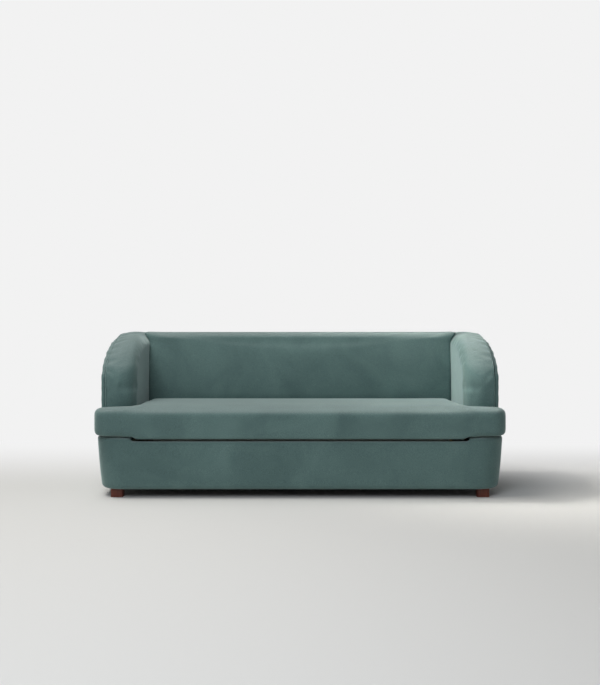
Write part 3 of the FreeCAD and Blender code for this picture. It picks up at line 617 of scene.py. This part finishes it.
class SOFA_OT_base_panels(bpy.types.Operator):
    """Make the padded band round the base, sewn as one cover over its four panels."""

    bl_idname = "sofa.base_panels"
    bl_label = "Base band"

    def execute(self, context):
        panels = ("base_front_panel", "base_side_left", "base_side_right", "base_back")
        made = bmesh.new()
        for source in panels:
            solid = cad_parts[source].data
            made.from_mesh(solid)
            if source in ("base_front_panel", "base_back"):
                # the cover bridges the narrow joins between the panels
                grow = 1 + 0.005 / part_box(source)[1][0]
                bmesh.ops.scale(made, vec=(grow, 1.0, 1.0), verts=made.verts[-len(solid.vertices):])
        mesh = bpy.data.meshes.new("base_band")
        made.to_mesh(mesh)
        made.free()
        piece = eased(new_piece("base_band", mesh, "velvet"), FINE_SKIN, 3, "velvet")
        points = points_of(piece.data)
        normals = normals_of(piece.data)
        low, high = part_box("base_side_left")
        height = np.clip((points[:, 2] - low[2]) / (high[2] - low[2]), 0, 1)
        level = np.abs(normals[:, 2]) < 0.5
        points += normals * (0.003 * np.sin(math.pi * height) * level)[:, None]
        put_points(piece.data, points)
        complete(piece, "sofa", panels)
        return {"FINISHED"}


class SOFA_OT_outside_panels(bpy.types.Operator):
    """Make the panels outside the arms and the back."""

    bl_idname = "sofa.outside_panels"
    bl_label = "Outside panels"

    def execute(self, context):
        sizes = context.scene.sofa_sizes
        for source in ("outside_arm_left", "outside_arm_right", "outside_back"):
            piece = cover_form(source, source + "_cover", FINE_SKIN, 3)
            if source != "outside_back":
                points = points_of(piece.data)
                normals = normals_of(piece.data)
                turn, bend = along_sweep(points)
                reach = np.hypot(points[:, 2] - SWEEP_Z, points[:, 1] - SWEEP_Y)
                near = np.clip((reach - 0.30) / 0.1, 0, 1)
                depth = bend * near * sizes.pucker * 0.6
                points += normals * (ripples(turn * SWEEP_RADIUS, 0.06, 1.9) * depth)[:, None]
                # the panel stops short of the pad along the sweep of the arm
                high_up = np.clip((points[:, 2] - 0.56) / 0.22, 0, 1)
                forward = np.clip((0.30 - points[:, 1]) / 0.2, 0, 1)
                points[:, 2] -= sizes.panel_drop * (high_up * forward)
                put_points(piece.data, points)
                draw_in(piece, 1 if source.endswith("right") else -1, sizes.draw_in)
            complete(piece, "sofa", source)
        return {"FINISHED"}


class SOFA_OT_mattresses(bpy.types.Operator):
    """Make the three foam mattress pieces with their welts, and the pull strap."""

    bl_idname = "sofa.mattresses"
    bl_label = "Mattresses"

    def execute(self, context):
        sizes = context.scene.sofa_sizes
        for part in ("head", "middle", "foot"):
            source = part + "_mattress"
            low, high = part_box(source)
            piece = cover_form(source, source + "_cover", BED_SKIN, 2, "ticking")
            points = points_of(piece.data)
            # sewn cross lines every 180 mm hold the ticking down a little
            dip = np.exp(-((((points[:, 0] / 0.18) % 1) - 0.5) / 0.09) ** 2)
            inside = np.clip((high[0] - np.abs(points[:, 0])) / 0.08, 0, 1)
            side = np.sign(points[:, 2] - (low[2] + high[2]) / 2)
            flat = np.abs(normals_of(piece.data)[:, 2]) > 0.8
            points[:, 2] -= side * flat * inside * 0.003 * dip
            put_points(piece.data, points)
            complete(piece, part + "_section", source)
            inset = 0.006
            routes = []
            for level in (low[2] + 0.012, high[2] - 0.012):
                routes.append(rounded_ring(low, high, inset, level, 0.014))
            welt = line_piece(source + "_welt", routes, sizes.welt * 0.6, "ticking", onto=piece)
            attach(welt, part + "_section")
        low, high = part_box("pull_strap")
        strap = strap_piece("pull_strap_web", low, high)
        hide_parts("pull_strap")
        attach(strap, "foot_section")
        return {"FINISHED"}


def rounded_ring(low, high, inset, level, radius):
    """Points round a rectangle with rounded corners, at one level."""
    route = []
    x, y = high[0] - inset, high[1] - inset
    left, front = low[0] + inset, low[1] + inset
    corners = ((x, y, 0), (left, y, 90), (left, front, 180), (x, front, 270))
    for cx, cy, start in corners:
        sx = 1 if cx > 0 else -1
        sy = 1 if cy > (low[1] + high[1]) / 2 else -1
        for step in range(7):
            angle = math.radians(start + step * 15)
            route.append((cx - sx * radius + radius * math.cos(angle),
                          cy - sy * radius + radius * math.sin(angle), level))
    return route


def strap_piece(name, low, high):
    """A flat woven strap."""
    mesh = bpy.data.meshes.new(name)
    made = bmesh.new()
    rows = 24
    for i in range(rows + 1):
        y = low[1] + (high[1] - low[1]) * i / rows
        for j in range(7):
            x = low[0] + (high[0] - low[0]) * j / 6
            made.verts.new((x, y, low[2] + 0.0002 + 0.0004 * math.sin(i * 0.9) ** 2))
    made.verts.ensure_lookup_table()
    for i in range(rows):
        for j in range(6):
            a = i * 7 + j
            made.faces.new([made.verts[k] for k in (a, a + 1, a + 8, a + 7)])
    made.to_mesh(mesh)
    made.free()
    piece = new_piece(name, mesh, "webbing")
    thick = piece.modifiers.new("thick", "SOLIDIFY")
    thick.thickness = 0.0009
    thick.offset = 1
    return piece


class SOFA_OT_dust_cover(bpy.types.Operator):
    """Make the cloth stapled under the base."""

    bl_idname = "sofa.dust_cover"
    bl_label = "Dust cover"

    def execute(self, context):
        low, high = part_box("dust_cover")
        mesh = bpy.data.meshes.new("dust_cover_cloth")
        made = bmesh.new()
        bmesh.ops.create_grid(made, x_segments=64, y_segments=28, size=0.5)
        for vert in made.verts:
            u, v = vert.co.x * 2, vert.co.y * 2
            vert.co.x = u * (high[0] - 0.005)
            vert.co.y = (low[1] + high[1]) / 2 + v * ((high[1] - low[1]) / 2 - 0.005)
            # square corners are trimmed to the base's rounded ones
            over = max(0.0, abs(u) - 0.9) / 0.1 * max(0.0, abs(v) - 0.78) / 0.22
            vert.co.x -= math.copysign(0.045 * over, u)
            vert.co.y -= math.copysign(0.05 * over, v)
            sag = (1 - u ** 4) * (1 - v ** 4)
            vert.co.z = low[2] + 0.0006 - 0.004 * sag + 0.0006 * math.sin(u * 31) * math.sin(v * 17) * sag
        made.to_mesh(mesh)
        made.free()
        piece = new_piece("dust_cover_cloth", mesh, "cloth")
        piece.data.polygons.foreach_set("use_smooth", [True] * len(piece.data.polygons))
        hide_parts("dust_cover")
        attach(piece, "sofa")
        return {"FINISHED"}


class SOFA_OT_finishes(bpy.types.Operator):
    """Give the rigid pieces their finishes."""

    bl_idname = "sofa.finishes"
    bl_label = "Finishes"

    def execute(self, context):
        by_piece = {
            "feet": ("front_feet", "rear_feet"),
            "pine": ("front_rail", "rear_rail", "back_top_rail", "back_lower_rail", "corner_blocks"),
            "ply": ("arm_inner_board_left", "arm_inner_board_right"),
            # the cover is drawn over the edges of the outer boards and the ledges
            "velvet": ("arm_ledge_left", "arm_ledge_right", "arm_board_left", "arm_board_right"),
            "post": ("back_posts",),
            "beech": ("head_slats", "middle_slats", "foot_slats"),
            "webbing": ("back_webbing",),
            "rubber": ("middle_leg_glides", "foot_leg_glides"),
            "zinc": ("foot_bolts", "pivot_studs", "fold_pins", "turn_pins", "link_pins", "middle_leg_pins",
                     "foot_leg_pins"),
        }
        chosen = {name: kind for kind, names in by_piece.items() for name in names}
        for name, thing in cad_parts.items():
            if thing.type != "MESH":
                continue
            thing.data.materials.clear()
            thing.data.materials.append(finish(chosen.get(name, "paint")))
        return {"FINISHED"}


def seen_straight(tree):
    """One for what is seen directly, in gloss or through glass, and nought for what lights the sofa."""
    rays = add(tree, "ShaderNodeLightPath")
    eye = add(tree, "ShaderNodeMath", {0: rays.outputs["Is Camera Ray"], 1: rays.outputs["Is Glossy Ray"]},
              operation="MAXIMUM")
    return add(tree, "ShaderNodeMath", {0: eye.outputs["Value"], 1: rays.outputs["Is Transmission Ray"]},
               operation="MAXIMUM").outputs["Value"]


class SOFA_OT_stage(bpy.types.Operator):
    """Set the floor, backdrop, lights and camera."""

    bl_idname = "sofa.stage"
    bl_label = "Stage"

    def execute(self, context):
        colours = context.scene.sofa_colours
        scene = context.scene
        scene.view_settings.view_transform = "Standard"
        mesh = bpy.data.meshes.new("studio_floor")
        made = bmesh.new()
        bmesh.ops.create_grid(made, x_segments=8, y_segments=8, size=60.0)
        made.to_mesh(mesh)
        made.free()
        floor_piece = bpy.data.objects.new("studio_floor", mesh)
        scene.collection.objects.link(floor_piece)
        paper = bpy.data.materials.new("Painted studio floor")
        paper.use_nodes = True
        tree = paper.node_tree
        shader = tree.nodes["Principled BSDF"]
        shader.inputs["Roughness"].default_value = 0.9
        place = add(tree, "ShaderNodeNewGeometry").outputs["Position"]
        split = add(tree, "ShaderNodeSeparateXYZ", {"Vector": place})
        # the floor runs into the backdrop behind the sofa, and all round beyond the lamps' reach
        behind = add(tree, "ShaderNodeMapRange",
                     {"Value": split.outputs["Y"], "From Min": -0.2, "From Max": 1.8},
                     interpolation_type="SMOOTHSTEP")
        away = add(tree, "ShaderNodeVectorMath", {0: place}, operation="LENGTH")
        beyond = add(tree, "ShaderNodeMapRange",
                     {"Value": away.outputs["Value"], "From Min": 3.2, "From Max": 5.6},
                     interpolation_type="SMOOTHSTEP")
        rise = add(tree, "ShaderNodeMath", {0: behind.outputs["Result"], 1: beyond.outputs["Result"]},
                   operation="MAXIMUM")
        shade = add(tree, "ShaderNodeValToRGB", {"Fac": rise.outputs["Value"]},
                    stops=[(0.0, colours.floor), (1.0, colours.backdrop)]).outputs["Color"]
        link_to(tree, shader.inputs["Base Color"], shade)
        glow = add(tree, "ShaderNodeEmission", {"Color": linear(colours.backdrop), "Strength": 1.0})
        look = seen_straight(tree)
        share = add(tree, "ShaderNodeMath", {0: look, 1: rise.outputs["Value"]}, operation="MULTIPLY")
        mixed = add(tree, "ShaderNodeMixShader",
                    {0: share.outputs["Value"], 1: shader.outputs[0], 2: glow.outputs[0]})
        link_to(tree, tree.nodes["Material Output"].inputs["Surface"], mixed.outputs[0])
        mesh.materials.append(paper)

        world = bpy.data.worlds.new("Studio")
        scene.world = world
        world.use_nodes = True
        room = world.node_tree
        sky = room.nodes["Background"]
        # a room whose windows are on one side: brighter from the left than from the right
        way = add(room, "ShaderNodeTexCoord").outputs["Generated"]
        parts = add(room, "ShaderNodeSeparateXYZ", {"Vector": way})
        level = add(room, "ShaderNodeMapRange", {"Value": parts.outputs["X"], "From Min": -1.0,
                                                 "From Max": 0.6, "To Min": 0.2, "To Max": 0.14})
        sky.inputs["Color"].default_value = linear("f2f4f4")
        link_to(room, sky.inputs["Strength"], level.outputs["Result"])
        # the eye, gloss and glass see the plain backdrop instead
        back = add(room, "ShaderNodeBackground", {"Color": linear(colours.backdrop), "Strength": 1.0})
        both = add(room, "ShaderNodeMixShader",
                   {0: seen_straight(room), 1: sky.outputs[0], 2: back.outputs[0]})
        link_to(room, room.nodes["World Output"].inputs["Surface"], both.outputs[0])
        # lamps: place, aim, width in metres, watts, tint and spread in degrees
        self.lamp(scene, "window", (-2.0, -1.0, 4.8), (0.3, -0.1, 0.5), 2.6, 118, "fffaf2", 180.0)
        self.lamp(scene, "side_window", (-1.0, 0.3, 3.0), (0.98, -0.12, 0.72), 0.9, 5, "fffaf2", 36.0)
        self.lamp(scene, "overhead", (-1.9, 0.6, 5.4), (0.0, 0.0, 0.4), 4.0, 70, "ffffff", 180.0)
        self.lamp(scene, "front_fill", (-1.2, -5.2, 3.6), (-0.2, 0.0, 0.4), 3.0, 138, "f4f8ff", 180.0)

        lens = bpy.data.cameras.new("photo_camera")
        lens.sensor_fit = "VERTICAL"
        lens.sensor_height = 36.0
        # the focal length is 1046 pixels of a frame 685 pixels high
        lens.lens = 1046.0 * 36.0 / 685.0
        lens.clip_end = 100.0
        camera = bpy.data.objects.new("photo_camera", lens)
        camera.location = (0.0, -5.88, 1.0)
        camera.rotation_euler = (math.radians(90.0 - 1.944), 0.0, 0.0)
        scene.collection.objects.link(camera)
        scene.camera = camera
        return {"FINISHED"}

    def lamp(self, scene, name, place, aim, width, power, tint, spread):
        """A soft square lamp."""
        light = bpy.data.lights.new(name, "AREA")
        light.shape = "SQUARE"
        light.size = width
        light.energy = power
        light.spread = math.radians(spread)
        light.color = linear(tint)[:3]
        lamp = bpy.data.objects.new(name, light)
        lamp.location = place
        lamp.rotation_euler = (Vector(aim) - Vector(place)).to_track_quat("-Z", "Y").to_euler()
        scene.collection.objects.link(lamp)


STEPS = (SOFA_OT_seat_cushion, SOFA_OT_arm_pads, SOFA_OT_back_pad, SOFA_OT_base_panels,
         SOFA_OT_outside_panels, SOFA_OT_mattresses, SOFA_OT_dust_cover, SOFA_OT_finishes, SOFA_OT_stage)


class SOFA_PT_panel(bpy.types.Panel):
    """Lists the steps that build the sofa bed."""

    bl_idname = "SOFA_PT_panel"
    bl_label = "Sofa bed"
    bl_space_type = "VIEW_3D"
    bl_region_type = "UI"
    bl_category = "Sofa Bed"

    def draw(self, context):
        for step in STEPS:
            self.layout.operator(step.bl_idname)


CLASSES = (SofaSizes, SofaColours, *STEPS, SOFA_PT_panel)


def register():
    for kind in CLASSES:
        bpy.utils.register_class(kind)
    bpy.types.Scene.sofa_sizes = bpy.props.PointerProperty(type=SofaSizes)
    bpy.types.Scene.sofa_colours = bpy.props.PointerProperty(type=SofaColours)


def unregister():
    del bpy.types.Scene.sofa_colours
    del bpy.types.Scene.sofa_sizes
    for kind in reversed(CLASSES):
        bpy.utils.unregister_class(kind)


def main():
    register()
    bpy.ops.sofa.seat_cushion()
    bpy.ops.sofa.arm_pads()
    bpy.ops.sofa.back_pad()
    bpy.ops.sofa.base_panels()
    bpy.ops.sofa.outside_panels()
    bpy.ops.sofa.mattresses()
    bpy.ops.sofa.dust_cover()
    bpy.ops.sofa.finishes()
    bpy.ops.sofa.stage()


if __name__ == "__main__":
    main()
